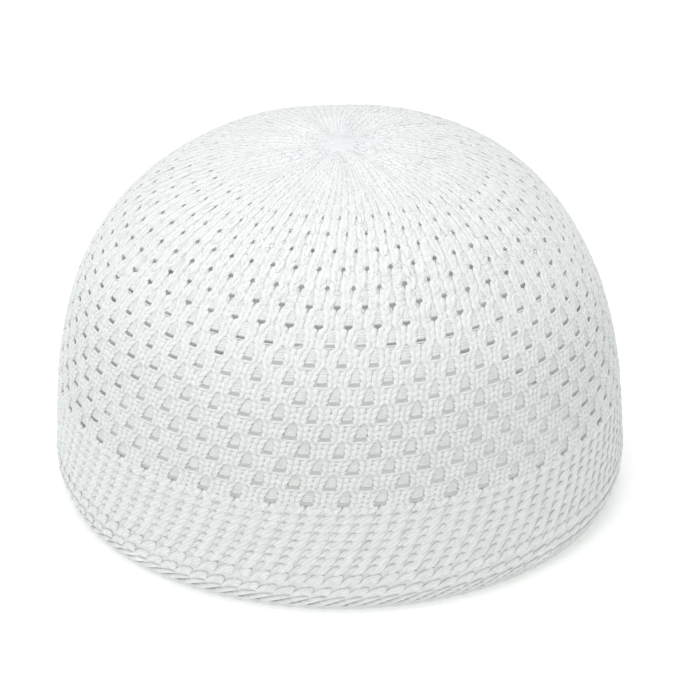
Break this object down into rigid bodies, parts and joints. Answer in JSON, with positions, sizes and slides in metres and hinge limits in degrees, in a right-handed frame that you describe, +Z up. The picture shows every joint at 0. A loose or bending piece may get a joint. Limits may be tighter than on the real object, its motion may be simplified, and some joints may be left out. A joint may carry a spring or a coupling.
{
  "type": "knitted kufi",
  "caption": "Round knitted kufi cap with an openwork crown gathered at the top and a ribbed band, open below for the head.",
  "frame": {"origin": "centre of the flat rim that the hat rests on", "axes": "+Z up through the gathered top, -Y towards the front, +X to the wearer's left"},
  "size_m": [0.1806, 0.1806, 0.115],
  "materials": {
    "white_knit": "matte"
  },
  "bodies": {
    "root": {"band": "white_knit", "crown": "white_knit", "gather": "white_knit"}
  },
  "joints": []
}
